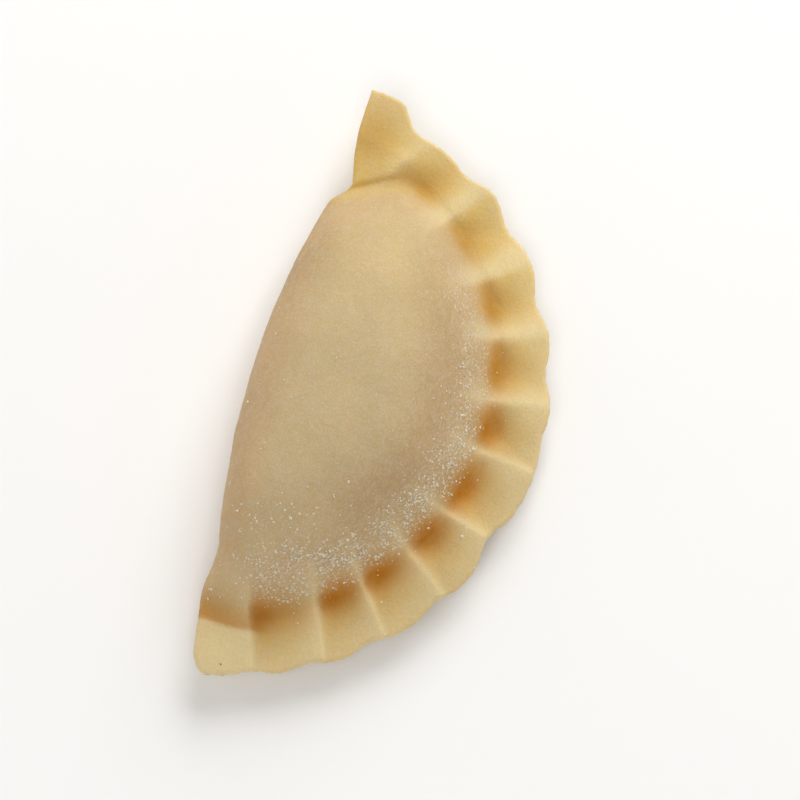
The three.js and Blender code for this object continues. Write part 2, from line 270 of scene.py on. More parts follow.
def crest_height(angle, radius):
    """1 on a crest, 0 in the hollow: a long fall from one crest, then a short rise to the next."""
    index, phase, is_horn = panel_at(angle)
    softness = softness_at(angle)
    outward = ease(FOOT_RADIUS - HOLLOW_TURN, DISC_RADIUS, radius) * ~is_horn
    hollow = mix(DIMPLE_PHASES[index], mix(*OUTER_DIMPLE, softness), outward)
    away = np.where(phase < hollow, phase / hollow, (1 - phase) / (1 - hollow))
    soft = 0.5 * (1 + np.cos(np.pi * away))
    blunted = np.hypot(away, CREST_ROUND) - CREST_ROUND
    blunted = blunted / (math.hypot(1, CREST_ROUND) - CREST_ROUND)
    sharp = np.maximum(0.0, 1 - blunted) ** CREST_POINT
    return mix(sharp, soft, softness)


def crest_highlight(angle):
    """The painted highlight on the rise to a crest, which ends sharply past it: from 0 to 1."""
    _, phase, is_horn = panel_at(angle)
    rise = np.where(is_horn, 0, ease(CREST_HIGHLIGHT["start"], CREST_HIGHLIGHT["full"], phase))
    return rise + ease(CREST_HIGHLIGHT["end"], 0, phase)


def dimple(radius, angle):
    """The thumb's dimple at the foot of the body: its colour, a wet stain with painted shade, from
    0 to 1, and its depth.
    """
    index, _, is_horn = panel_at(angle)
    middle = mix(CREST_ANGLES[index], CREST_ANGLES[index + 1], DIMPLE_PHASES[index])
    depth = mix(DIMPLE["most"], DIMPLE["least"], softness_at(angle))
    across = bell(radius - DIMPLE["radius"], DIMPLE["across"])
    run = radius * (angle - middle) * DEGREE
    along = bell(run, DIMPLE["along"])
    outwards = radius - STAIN_AND_SHADE["radius"]
    stain_and_shade = bell(outwards, np.where(outwards < 0, STAIN_AND_SHADE["inwards"], STAIN_AND_SHADE["outwards"]))
    size = mix(1.0, LAST_STAIN_AND_SHADE["size"], ease(*LAST_STAIN_AND_SHADE["angles"], angle))
    reach = size * np.where(run < 0, STAIN_AND_SHADE["to_crest"], STAIN_AND_SHADE["from_crest"])
    stain_and_shade = stain_and_shade * bell(run, reach) * mix(LAST_STAIN_AND_SHADE["faint"], 1.0, size)
    return stain_and_shade * ~is_horn, across * along * depth * ~is_horn


def edge_radius(angle):
    """The scalloped edge of the rim."""
    radius = DISC_RADIUS - RADIUS_TREND * angle / HORN_ANGLE
    radius = radius - PINCH["depth"] * bell(angle - PINCH["angle"], PINCH["spread"])
    radius = radius + SHOULDER["rise"] * bell(angle - SHOULDER["angle"], SHOULDER["spread"])
    for crest, shift, depth in zip(CREST_ANGLES, NOTCH_SHIFTS, NOTCH_DEPTHS):
        spread = NOTCH["spread"] + NOTCH["widening"] * depth
        radius = radius - depth * bell(angle - crest + shift, spread)
    return radius


# ---- The outline and the sections ------------------------------------------------------------

def fold_out(x):
    """The fold line, as its distance out from the centre of the disc."""
    along_bow = (x - FOLD_BOW["middle"]) / FOLD_BOW["half"]
    bow = FOLD_BOW["start"] + FOLD_BOW["rise"] * along_bow ** 2
    fin, flap = POINTED_HORN, BLUNT_HORN
    tip = polar(edge_radius(np.float64(HORN_ANGLE)), HORN_ANGLE)[0]
    along = (x - fin["root"]) / (tip - fin["root"])
    fin_out = mix(fin["root_out"], fin["tip_out"], along)
    fin_out = fin_out - fin["bow"] * np.sin(np.pi * clamp01(along))
    flap_out = flap["root_out"] + flap["slope"] * (flap["root"] - x)
    to_fin = ease(fin["root"] - fin["before_root"], fin["root"] + fin["past_root"], x)
    to_flap = ease(flap["root"] + flap["step"], flap["root"], x)
    return mix(mix(bow, fin_out, to_fin), flap_out, to_flap)


def fold_point(station):
    """A point on the fold, for a station from -1 at the blunt horn's tip to 1 at the other tip."""
    side = np.where(station < 0, -1.0, 1.0)
    bend = np.where(side > 0, POINTED_HORN["tip_round"], BLUNT_HORN["tip_round"])
    tip_x, tip_out = polar(edge_radius(side * HORN_ANGLE), side * HORN_ANGLE)
    straight = np.abs(tip_x) - bend
    bend_share = 2 * bend / (straight + 2 * bend)
    share = mix(np.abs(station) ** STATION_POWER, np.abs(station), STATION_SPREAD)
    t = clamp01((1 - share) / bend_share)
    in_bend = 1 - share < bend_share
    straight_x = side * straight * share / (1 - bend_share)
    bent_x = side * (straight + bend * (1 - t * t))
    x = np.where(in_bend, bent_x, straight_x)
    turn = np.sqrt(1 - (1 - t * t) ** 2)
    return x, np.where(in_bend, mix(tip_out, fold_out(x), turn), fold_out(x))


def section_angles():
    """The same number of sections in every panel, so that one runs along each crest."""
    stops = [HORN_ANGLE, *CREST_ANGLES[1:-1], -HORN_ANGLE]
    shares = np.arange(PANEL_SECTIONS) / PANEL_SECTIONS
    angles = [mix(a, b, shares) for a, b in zip(stops[:-1], stops[1:])]
    return np.concatenate([*angles, [-HORN_ANGLE]])


def plan_grid():
    """Plan points of all sections, from the fold to the edge, with their fold points and edges."""
    angle = section_angles()[:, None]
    station = angle / HORN_ANGLE
    fold_x, fold_o = fold_point(station)
    used = np.where(np.abs(station) < NEAR_MIDDLE, NEAR_MIDDLE, station)
    edge = edge_radius(angle)
    bend = np.minimum(fold_point(used)[0] / np.sin(used * HORN_ANGLE * DEGREE), edge)
    turn = np.minimum(edge, np.maximum(TURN_RADIUS, bend + TURN_LEAST))
    ragged = np.array([
        [noise.noise(Vector((a * EDGE_PER_DEGREE / RAGGED["scale"], RAGGED["row"], 0)))]
        for a in angle[:, 0]
    ])
    edge = edge + RAGGED["depth"] * ragged * ease(*RAGGED["fade"], np.abs(station))

    def crest_line(radius):
        return polar(radius, angle - lean_turn(radius, angle))

    share = np.arange(BODY_STEPS) / BODY_STEPS
    t = mix(1 - np.cos(np.pi / 2 * share), share, BODY_EVENNESS)[None, :]
    middle, end = crest_line(bend), crest_line(turn)
    weights = ((1 - t) ** 2, 2 * t * (1 - t), t * t)
    body = [
        weights[0] * fold + weights[1] * mid + weights[2] * last
        for fold, mid, last in zip((fold_x, fold_o), middle, end)
    ]
    share = np.sin(np.pi / 2 * np.arange(RIM_STEPS + 1) / RIM_STEPS)[None, :]
    rim = crest_line(mix(turn, edge, share))
    x = np.hstack([body[0], rim[0]])
    out = np.hstack([body[1], rim[1]])
    return x, out, fold_x, fold_o, edge


# ---- Heights ---------------------------------------------------------------------------------

def shortfall(distance, reach, power):
    """How much of its full swell the body lacks at a distance in from its foot."""
    return np.maximum(0.0, 1 - distance / reach) ** power


def crease_distance(crease, x, out):
    """How far a point lies in from a crease, below zero on its horn."""
    ax, ao = crease["along"]
    side = math.copysign(1, crease["x"])
    straight = side * (ax * (out - crease["out"]) - ao * (x - crease["x"])) / math.hypot(ax, ao)
    if crease is POINTED_CREASE:
        return straight
    return straight + CREASE_BELLY["by"] * bell(out - CREASE_BELLY["out"], CREASE_BELLY["spread"])


def body_half(x, out):
    """Half the thickness of the filled body, which goes below zero outside it."""
    falls = [shortfall(FOOT_RADIUS - np.hypot(x, out), BODY_REACH, BODY_POWER)]
    for crease in (POINTED_CREASE, BLUNT_CREASE):
        falls.append(shortfall(crease_distance(crease, x, out), crease["reach"], crease["power"]))
    joined = sum(fall ** CORNER_NORM for fall in falls) ** (1 / CORNER_NORM)
    return BODY_HALF * (1 - joined)


def lumps(x, out):
    """Height that the filling's lumps add to the body."""
    return sum(h * bell(np.hypot(x - lx, out - lo), spread) for lx, lo, spread, h in LUMPS)


def level(x, out):
    """Height of the middle of the dough above the table."""
    radius = np.hypot(x, out)
    swell = np.minimum(FOOT_RADIUS - radius, body_half(x, out) * LEVEL_SWELL)
    droop = RIM_DROOP * np.maximum(0, radius - FOOT_RADIUS)
    past_curl = np.maximum(0, (x - HORN_CURL["start"]) / HORN_CURL["length"])
    past_lift = np.maximum(0, (BLUNT_LIFT["start"] - x) / BLUNT_LIFT["length"])
    curl = HORN_CURL["lift"] * past_curl ** CURL_POWER
    lift = BLUNT_LIFT["lift"] * past_lift ** CURL_POWER
    return mix(RIM_LEVEL - droop + curl + lift, BODY_LEVEL, ease(*LEVEL_REACH, swell))


def groove(x, out):
    """The crease lines where the body ends against the horns."""
    depth = 0
    start, full = (FOOT_RADIUS - inside for inside in GROOVE["fade"])
    for crease in (POINTED_CREASE, BLUNT_CREASE):
        line = bell(crease_distance(crease, x, out) + GROOVE["inside"], GROOVE["width"])
        depth = depth + crease["groove"] * line * ease(start, full, np.hypot(x, out))
    return depth


def surfaces(x, out, from_fold, nose, edge):
    """Top and belly heights, and the masks that the material reads."""
    radius = np.hypot(x, out)
    angle = np.arctan2(x, out) / DEGREE
    angle = angle + lean_turn(radius, angle)
    crest = crest_height(angle, radius)
    rise = ease(*CREST_FADE, radius)
    outwards = clamp01((radius - FOOT_RADIUS) / RIM_WIDTH)
    softness = softness_at(angle)
    relief = crest * rise * mix(1, mix(*EDGE_SHARE, softness), outwards)
    thin = mix(1, EDGE_THIN, outwards)
    body = body_half(x, out)
    rim_top = RIM_TOP * thin + mix(*CREST_TOP, softness) * relief
    top = smooth_max(body, rim_top, FILLET)
    below = smooth_max(body, RIM_BELOW * thin + CREST_BELOW * relief, FILLET)
    round_off = rounded(from_fold, nose) * rounded(edge - radius, EDGE_ROUND)
    middle = level(x, out)
    stain_and_shade, pressed = dimple(radius, angle)
    upper = middle + round_off * (top - pressed + lumps(x, out) - groove(x, out))
    lower = smooth_max(middle - round_off * (below - DIMPLE["through"] * pressed), 0.0, SETTLE)
    # Masks: hollow is wet stain and painted shade, scoop painted shade on warmer dough, crest
    # painted highlight on a paler ridge.
    return upper, lower, middle, {
        "hollow": stain_and_shade,
        "scoop": (1 - crest) * rise * bell(radius - FOOT_RADIUS, SCOOP_SPREAD),
        "crest": mix(crest ** CREST_HIGHLIGHT_POWER, clamp01(crest_highlight(angle)), softness) * rise,
        "edge": bell(edge - radius, EDGE_SPREAD),
        **place_masks(x, out, radius, angle),
    }


def place_masks(x, out, radius, angle):
    """The masks that only go by place."""
    pointed, blunt = (crease_distance(crease, x, out) for crease in (POINTED_CREASE, BLUNT_CREASE))
    inside = np.minimum(FOOT_RADIUS - radius, np.minimum(pointed, blunt))
    foot = bell(inside - FOOT_SHADE["inside"], mix(*FOOT_SHADE["spread"], ease(*FOOT_SHADE["narrows"], x)))
    shade = bell(inside - SHADE["inside"], SHADE["spread"])
    corner = ease(*CORNER_SHADE["inside"], blunt) * bell(blunt, CORNER_SHADE["spread"])
    # The crease, corner and foot masks lay painted shade, and the flap mask painted light.
    return {
        "rim": ease(*RIM_TINT, inside),
        "ripe": ease(*RIPE, x),
        "crease": clamp01(groove(x, out) / POINTED_CREASE["groove"]),
        "corner": corner * ease(*CORNER_SHADE["angles"], angle),
        "flap": ease(*FLAP_HIGHLIGHT["outside"], blunt) * ease(*FLAP_HIGHLIGHT["angles"], angle),
        "shade": shade * ease(*SHADE["right"], x) * ease(*SHADE["left"], x),
        "outer": ease(FOOT_RADIUS + OUTER[0], DISC_RADIUS - OUTER[1], radius),
        "foot": foot * mix(1.0, FOOT_SHADE["least"], ease(*FOOT_SHADE["fades"], x)),
    }


# ---- Building the meshes ---------------------------------------------------------------------

SEAMS = (np.s_[:, 0], np.s_[:, -1], np.s_[0, :], np.s_[-1, :])  # the fold, the edge and both tips


def dough_grid(x, out, fold_x, fold_o, edge):
    """Grids of top and belly points in millimetres, set into the CAD box, and the masks."""
    nose = NOSE_LEAST + NOSE_SHARE * np.maximum(0, body_half(fold_x, fold_o))
    from_fold = np.hypot(x - fold_x, out - fold_o)
    upper, lower, middle, masks = surfaces(x, out, from_fold, nose, edge)
    for seam in SEAMS:
        upper[seam] = middle[seam]
        lower[seam] = middle[seam]
    top = np.stack([x, -out, upper], axis=-1)
    belly = np.stack([x, -out, lower], axis=-1)
    low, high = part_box(NODE)
    both = np.concatenate([top.reshape(-1, 3), belly.reshape(-1, 3)])
    shift = (np.array(low) + np.array(high)) / 2 / MM - (both.min(0) + both.max(0)) / 2
    shift[2] = low[2] / MM - both[:, 2].min()
    return top + shift, belly + shift, masks


def dough_mesh(top, belly, masks):
    """One closed mesh of the two grids, which share the fold, the edge and the horn tips."""
    rows, columns = top.shape[:2]
    upper_id = np.arange(rows * columns).reshape(rows, columns)
    upper_id[0, :] = upper_id[0, 0]
    upper_id[-1, :] = upper_id[-1, 0]
    lower_id = upper_id + rows * columns
    for seam in SEAMS:
        lower_id[seam] = upper_id[seam]

    def quads(ids, flip):
        corners = [ids[:-1, :-1], ids[1:, :-1], ids[1:, 1:], ids[:-1, 1:]]
        if flip:
            corners.reverse()
        return np.stack([c.ravel() for c in corners], axis=1)

    faces = np.concatenate([quads(upper_id, False), quads(lower_id, True)])
    used, compact = np.unique(faces, return_inverse=True)
    compact = compact.reshape(faces.shape)
    points = np.concatenate([top.reshape(-1, 3), belly.reshape(-1, 3)])[used] * MM
    face_list = [tuple(dict.fromkeys(face)) for face in compact.tolist()]
    mesh = bpy.data.meshes.new(NODE + "_skin")
    mesh.from_pydata(points.tolist(), [], [face for face in face_list if len(face) > 2])
    for name, grid in masks.items():
        values = np.concatenate([grid.ravel(), grid.ravel()])[used]
        layer = mesh.attributes.new(name, "FLOAT", "POINT")
        layer.data.foreach_set("value", values.astype(np.float32))
    mesh.polygons.foreach_set("use_smooth", [True] * len(mesh.polygons))
    mesh.update()
    return mesh


def roughen(mesh, floor_z):
    """Moves each point along its normal by the skin's noise, except where the belly rests.

    It also stores how steep the smooth skin is, for the painted shade on its steep sides.
    """
    count = len(mesh.vertices)
    points = np.empty(count * 3)
    normals = np.empty(count * 3)
    mesh.vertices.foreach_get("co", points)
    mesh.vertices.foreach_get("normal", normals)
    points, normals = points.reshape(-1, 3), normals.reshape(-1, 3)
    push = np.zeros(count)
    for wavelength, height in SKIN_NOISE:
        scaled = points / (wavelength * MM)
        push += height * np.array([noise.noise(Vector(p)) for p in scaled])
    free = ease(0.0, SMOOTH_BELOW, (points[:, 2] - floor_z) / MM)
    points = points + normals * (push * free * MM)[:, None]
    mesh.vertices.foreach_set("co", points.ravel())
    mesh.update()
    layer = mesh.attributes.new("slope", "FLOAT", "POINT")
    steep = ease(*SLOPE_RANGE, np.abs(normals[:, 2]))
    layer.data.foreach_set("value", steep.astype(np.float32))


def make_object(name, mesh, material):
    made = bpy.data.objects.new(name, mesh)
    bpy.context.scene.collection.objects.link(made)
    mesh.materials.append(material)
    return made


# ---- Flour -----------------------------------------------------------------------------------

FLOUR_SEED = 7
FLOUR_TRIES = 42000
GRAIN_HALF = (0.05, 0.25)  # half width of a grain, millimetres
GRAIN_SMALLNESS = 2.8  # how much more often a grain is small
GRAIN_FLATNESS = 0.8
GRAIN_UNEVEN = dict(scale=(0.6, 1.25), jitter=0.16)
FINER = dict(share=0.65, x=(-5, 20))  # the grains towards the pointed horn are finer
SPARSER = dict(share=0.45, x=(-10, 2))  # and fewer
CLUMPS = dict(size=1.6, least=0.25, gain=2.0, middle=0.4, contrast=1.8)
USUAL_AREA = 80  # percentile of the mesh cells' areas
GRID_MARGIN = (2, 3)  # rows and columns at the grid's borders that get no grains

# Shares of the grains that stay: a band along the lower foot, a drift at its blunt end, a faint
# band along the whole foot, and a few all over. Few lie in the foot's hollow and the blunt crease.
BAND = dict(inside=4.6, spread=2.8, share=1.1, right=(27, 8), left=(-37, -28), out=(7, 15))
DRIFT = dict(x=-27, out=15, spread=6.0, share=0.6)
FAINT_BAND = dict(inside=2.2, spread=1.8, share=0.22, right=(34, 26))
STRAY = dict(anywhere=0.006, on_body=0.012)
BARE = dict(foot=(1.4, 3.4), crease=(2.0, 5.0), least=0.08)
HOLLOW_BARE_SHARE = 0.85  # of the flour that is taken away where a dimple's stain and painted shade lie

GRAIN_CORNERS = [(1, 0, 0), (-1, 0, 0), (0, 1, 0), (0, -1, 0), (0, 0, 1), (0, 0, -1)]
GRAIN_SIDES = [
    (0, 2, 4), (2, 1, 4), (1, 3, 4), (3, 0, 4), (2, 0, 5), (1, 2, 5), (3, 1, 5), (0, 3, 5),
]


def flour_density(x, out):
    """Share of the grains that stay at a plan point."""
    inside = FOOT_RADIUS - np.hypot(x, out)
    band = bell(inside - BAND["inside"], BAND["spread"])
    band = band * ease(*BAND["right"], x) * ease(*BAND["left"], x) * ease(*BAND["out"], out)
    drift = bell(np.hypot(x - DRIFT["x"], out - DRIFT["out"]), DRIFT["spread"])
    faint = FAINT_BAND["share"] * bell(inside - FAINT_BAND["inside"], FAINT_BAND["spread"])
    faint = faint * ease(*FAINT_BAND["right"], x)
    from_crease = crease_distance(BLUNT_CREASE, x, out)
    on_body = mix(BARE["least"], 1.0, ease(*BARE["foot"], inside))
    on_body = on_body * ease(*BARE["crease"], from_crease)
    lying = STRAY["on_body"] + BAND["share"] * band + DRIFT["share"] * drift + faint
    return STRAY["anywhere"] + lying * on_body


def flour_mesh(top, density):
    """Small eight-sided grains, half sunk into the dough's top."""
    rng = np.random.default_rng(FLOUR_SEED)
    rows, columns = top.shape[:2]
    i = rng.integers(GRID_MARGIN[0], rows - 1 - GRID_MARGIN[0], FLOUR_TRIES)
    j = rng.integers(GRID_MARGIN[1], columns - 1 - GRID_MARGIN[1], FLOUR_TRIES)
    along, across = top[i + 1, j] - top[i, j], top[i, j + 1] - top[i, j]
    area = np.linalg.norm(np.cross(along, across), axis=1)
    spread = rng.random((FLOUR_TRIES, 2))
    spot = top[i, j] + along * spread[:, :1] + across * spread[:, 1:]
    clump = np.array([noise.noise(Vector(p / CLUMPS["size"])) for p in spot])
    clump = clamp01(CLUMPS["middle"] + CLUMPS["contrast"] * clump)
    wanted = density[i, j] * area / np.percentile(area, USUAL_AREA)
    wanted = wanted * (CLUMPS["least"] + CLUMPS["gain"] * clump)
    wanted = wanted * mix(1.0, SPARSER["share"], ease(*SPARSER["x"], spot[:, 0]))
    spot = spot[rng.random(FLOUR_TRIES) < wanted]
    count = len(spot)
    sizes = mix(*GRAIN_HALF, rng.random(count) ** GRAIN_SMALLNESS)
    sizes = sizes * mix(1.0, FINER["share"], ease(*FINER["x"], spot[:, 0]))
    shape = np.array(GRAIN_CORNERS, float)
    corners = shape[None] * rng.uniform(*GRAIN_UNEVEN["scale"], (count, 6, 3))
    corners = corners + rng.normal(0, GRAIN_UNEVEN["jitter"], (count, 6, 3))
    turns = rng.uniform(0, 2 * math.pi, count)
    cos, sin = np.cos(turns)[:, None], np.sin(turns)[:, None]
    turned = np.stack([
        corners[..., 0] * cos - corners[..., 1] * sin,
        corners[..., 0] * sin + corners[..., 1] * cos,
        corners[..., 2] * GRAIN_FLATNESS,
    ], axis=-1)
    points = (spot[:, None] + turned * sizes[:, None, None]).reshape(-1, 3) * MM
    first_corner = len(GRAIN_CORNERS) * np.arange(count)
    faces = (np.array(GRAIN_SIDES)[None] + first_corner[:, None, None]).reshape(-1, 3)
    mesh = bpy.data.meshes.new("flour_grains")
    mesh.from_pydata(points.tolist(), [], faces.tolist())
    mesh.update()
    return mesh


# ---- Materials -------------------------------------------------------------------------------

def linear(red, green, blue):
    """A colour given as 0 to 255 in sRGB, as the shader's linear RGBA."""
    def channel(value):
        value = value / 255
        return value / 12.92 if value <= 0.04045 else ((value + 0.055) / 1.055) ** 2.4
    return (channel(red), channel(green), channel(blue), 1.0)


RANGE_SOCKETS = ("From Min", "From Max", "To Min", "To Max")


class Nodes:
    """A material's node tree, with one short call for each kind of node that it uses."""

    def __init__(self, name):
        self.material = bpy.data.materials.new(name)
        self.material.use_nodes = True
        self.tree = self.material.node_tree
        self.shader = self.tree.nodes["Principled BSDF"]

    def add(self, kind, **settings):
        node = self.tree.nodes.new(kind)
        for key, value in settings.items():
            setattr(node, key, value)
        return node

    def put(self, socket, value):
        """Links a socket to another, or sets its own value."""
        if isinstance(value, bpy.types.NodeSocket):
            self.tree.links.new(value, socket)
        else:
            socket.default_value = value

    def attribute(self, name):
        return self.add("ShaderNodeAttribute", attribute_name=name).outputs["Fac"]

    def pattern(self, kind, millimetres):
        node = self.add(kind)
        self.put(node.inputs["Vector"], self.add("ShaderNodeTexCoord").outputs["Object"])
        node.inputs["Scale"].default_value = 1 / (millimetres * MM)
        return node

    def noise(self, millimetres, detail=2.0, roughness=0.5):
        node = self.pattern("ShaderNodeTexNoise", millimetres)
        node.inputs["Detail"].default_value = detail
        node.inputs["Roughness"].default_value = roughness
        return node.outputs["Fac"]

    def cells(self, millimetres):
        return self.pattern("ShaderNodeTexVoronoi", millimetres).outputs["Distance"]

    def ramp(self, value, low, high, start=0.0, end=1.0):
        node = self.add("ShaderNodeMapRange", interpolation_type="SMOOTHSTEP")
        self.put(node.inputs["Value"], value)
        for name, number in zip(RANGE_SOCKETS, (low, high, start, end)):
            node.inputs[name].default_value = number
        return node.outputs["Result"]

    def math(self, operation, a, b=0.0):
        node = self.add("ShaderNodeMath", operation=operation)
        self.put(node.inputs[0], a)
        self.put(node.inputs[1], b)
        return node.outputs[0]

    def blend(self, share, a, b, mode="MIX"):
        node = self.add("ShaderNodeMix", data_type="RGBA", blend_type=mode)
        self.put(node.inputs["Factor"], share)
        self.put(node.inputs[6], a)
        self.put(node.inputs[7], b)
        return node.outputs[2]

    def scaled(self, name, share):
        """A mask of the mesh, times a share."""
        return self.math("MULTIPLY", self.attribute(name), share)

    def less(self, name, share):
        """1 less a share of a mask of the mesh."""
        return self.math("SUBTRACT", 1.0, self.scaled(name, share))

    def bump(self, height, millimetres, strength, onto=None):
        node = self.add("ShaderNodeBump")
        self.put(node.inputs["Height"], height)
        node.inputs["Distance"].default_value = millimetres * MM
        node.inputs["Strength"].default_value = strength
        if onto is not None:
            self.put(node.inputs["Normal"], onto)
        return node.outputs["Normal"]


BODY_COLOUR = linear(206, 182, 137)
RIPE_COLOUR = linear(212, 187, 130)
RIM_COLOUR = linear(217, 188, 123)
# The dimples' wet stain with painted shade:
HOLLOW_STAIN_AND_SHADE_COLOUR = linear(192, 118, 2)
UPPER_HOLLOW_STAIN_AND_SHADE_COLOUR = linear(192, 142, 50)
# Painted shade in the scoops, on the moister dough's warmer colour:
SCOOP_TINT_AND_SHADE_COLOUR = linear(206, 164, 88)
# Painted shade along the foot and the blunt crease:
FOOT_SHADE_COLOUR = linear(192, 138, 66)
# Painted shade on the steep sides:
SLOPE_SHADE_COLOUR = linear(204, 168, 122)
# Pale for the dry edge and the rim's outer part, and painted highlight on the crests and the flap:
PALE_AND_HIGHLIGHT_COLOUR = linear(232, 213, 164)
RIPE_RIM_COLOUR = linear(227, 193, 108)
FLECK_COLOUR = linear(150, 100, 50)
SHADE_COLOUR = linear(232, 224, 214)
DUST_COLOUR = linear(214, 202, 176)
FLOUR_COLOUR = linear(230, 222, 204)
FLOOR_COLOURS = (linear(250, 250, 249), linear(248, 248, 248))


# Mask of the mesh, its share, and the colour laid on there, from the first layer to the last.
RIM_LAYERS = [
    # Painted highlight, partly the paler dry ridge:
    ("crest", 0.7, PALE_AND_HIGHLIGHT_COLOUR),
    ("outer", 0.4, PALE_AND_HIGHLIGHT_COLOUR),
    ("edge", 0.3, PALE_AND_HIGHLIGHT_COLOUR),
    # Painted shade, on the moister dough's warmer colour:
    ("scoop", 0.7, SCOOP_TINT_AND_SHADE_COLOUR),
    # Painted light on the flap:
    ("flap", 0.75, PALE_AND_HIGHLIGHT_COLOUR),
    # Painted shade along the blunt crease:
    ("corner", 0.7, FOOT_SHADE_COLOUR),
]
# Share of painted shade on the steep sides:
SLOPE_SHADE_SHARE = 0.8
SHADE_SHARE = 0.75
# Share of painted shade in the crease lines:
CREASE_SHADE_SHARE = 0.6
DUST_SHARE = 0.7
FOOT_SHADE_LESS_RIPE = 0.35
STAIN_AND_SHADE_LESS_RIPE = 0.3
UPPER_HOLLOW_POWER = 0.6

# Noises: size in millimetres, detail and roughness. Ramps: from and to in the noise, and the result
# at each end.
PATCHES = (9.0, 3.0)
PATCH_TONE = (0.25, 0.75, 0.85, 0.93)
PATCH_FOOT = (0.3, 0.7, 0.65, 0.95)
FILMS = [((1.2, 3.0), (0.35, 0.75, 0.0, 0.2)), ((0.28, 1.0), (0.5, 0.72, 0.0, 0.4))]
STAIN_AND_SHADE_PATCHES = (1.9, 4.0, 0.6)
STAIN_AND_SHADE_UNEVEN = (0.3, 0.66, 0.6, 1.0)
SKIN_GRAIN = (0.32, 2.0, 0.7)
GRAIN_TONE = (0.3, 0.7, 0.96, 1.04)
FLECKS_APART = 3.4
FLECK_EDGE = (0.055, 0.025)
FLECK_PATCHES = (2.3, 0.0)
FLECK_RARE = (0.5, 0.57)
DUST_GRAIN = (0.45, 2.0, 0.7)
DUST_EDGE = (0.5, 0.68)
SHEEN_PATCHES = (2.0, 3.0)
SHEEN_ROUGHNESS = (0.3, 0.7, 0.62, 0.78)
SKIN_BUMPS = (0.6, 4.0, 0.65)
SKIN_BUMP = dict(millimetres=0.18, strength=0.7)
DUST_BUMP = dict(millimetres=0.06, strength=0.35)
SUBSURFACE = dict(weight=0.35, radius=(1.0, 0.55, 0.22), scale=1.6)
FLOUR_SUBSURFACE = dict(weight=0.3, radius=(1.0, 0.9, 0.7), scale=0.3)
FLOUR_PATCHES = 0.5
FLOOR_PATCHES = 40.0


def set_subsurface(shader, weight, radius, scale):
    shader.inputs["Subsurface Weight"].default_value = weight
    shader.inputs["Subsurface Radius"].default_value = radius
    shader.inputs["Subsurface Scale"].default_value = scale * MM


def body_colour(n, patchy):
    """Body and rim, with painted shade in the foot, on the steep sides and on the lower right
    slope, and the films of flour that lie on the body but not in its foot.
    """
    colour = n.blend(n.attribute("ripe"), BODY_COLOUR, RIPE_COLOUR)
    colour = n.blend(n.scaled("slope", SLOPE_SHADE_SHARE), colour, SLOPE_SHADE_COLOUR)
    rim = n.blend(n.attribute("ripe"), RIM_COLOUR, RIPE_RIM_COLOUR)
    colour = n.blend(n.attribute("rim"), colour, rim)
    colour = n.blend(n.scaled("shade", SHADE_SHARE), colour, SHADE_COLOUR, mode="MULTIPLY")
    for pattern, film in FILMS:
        colour = n.blend(n.ramp(n.noise(*pattern), *film), colour, DUST_COLOUR)
    foot = n.math("MULTIPLY", n.attribute("foot"), n.ramp(patchy, *PATCH_FOOT))
    foot = n.math("MULTIPLY", foot, n.less("ripe", FOOT_SHADE_LESS_RIPE))
    return n.blend(foot, colour, FOOT_SHADE_COLOUR)


def hollow_colour(n, colour):
    """Adds the dimples' wet stains with painted shade, and painted shade in the creases."""
    ripeness = n.math("POWER", n.attribute("ripe"), UPPER_HOLLOW_POWER)
    hollow = n.blend(ripeness, HOLLOW_STAIN_AND_SHADE_COLOUR, UPPER_HOLLOW_STAIN_AND_SHADE_COLOUR)
    uneven = n.ramp(n.noise(*STAIN_AND_SHADE_PATCHES), *STAIN_AND_SHADE_UNEVEN)
    stain_and_shade = n.math("MULTIPLY", n.attribute("hollow"), uneven)
    stain_and_shade = n.math("MULTIPLY", stain_and_shade, n.less("ripe", STAIN_AND_SHADE_LESS_RIPE))
    colour = n.blend(stain_and_shade, colour, hollow)
    return n.blend(n.scaled("crease", CREASE_SHADE_SHARE), colour, hollow)


def dough_material():
    n = Nodes("dough")
    patchy = n.noise(*PATCHES)
    colour = body_colour(n, patchy)
    for name, share, tint in RIM_LAYERS:
        colour = n.blend(n.scaled(name, share), colour, tint)
    colour = hollow_colour(n, colour)
    for tone in (n.ramp(patchy, *PATCH_TONE), n.ramp(n.noise(*SKIN_GRAIN), *GRAIN_TONE)):
        colour = n.blend(1.0, colour, tone, mode="MULTIPLY")
    rare = n.ramp(n.noise(*FLECK_PATCHES), *FLECK_RARE)
    fleck = n.math("MULTIPLY", n.ramp(n.cells(FLECKS_APART), *FLECK_EDGE), rare)
    colour = n.blend(fleck, colour, FLECK_COLOUR)
    dust_noise = n.ramp(n.noise(*DUST_GRAIN), *DUST_EDGE)
    dust = n.math("MULTIPLY", n.attribute("dust"), dust_noise)
    colour = n.blend(n.math("MULTIPLY", dust, DUST_SHARE), colour, DUST_COLOUR)
    n.put(n.shader.inputs["Base Color"], colour)
    n.put(n.shader.inputs["Roughness"], n.ramp(n.noise(*SHEEN_PATCHES), *SHEEN_ROUGHNESS))
    n.shader.inputs["Specular IOR Level"].default_value = 0.2
    n.shader.inputs["Subsurface Anisotropy"].default_value = 0.0
    set_subsurface(n.shader, **SUBSURFACE)
    skin = n.bump(n.noise(*SKIN_BUMPS), **SKIN_BUMP)
    n.put(n.shader.inputs["Normal"], n.bump(dust_noise, **DUST_BUMP, onto=skin))
    return n.material


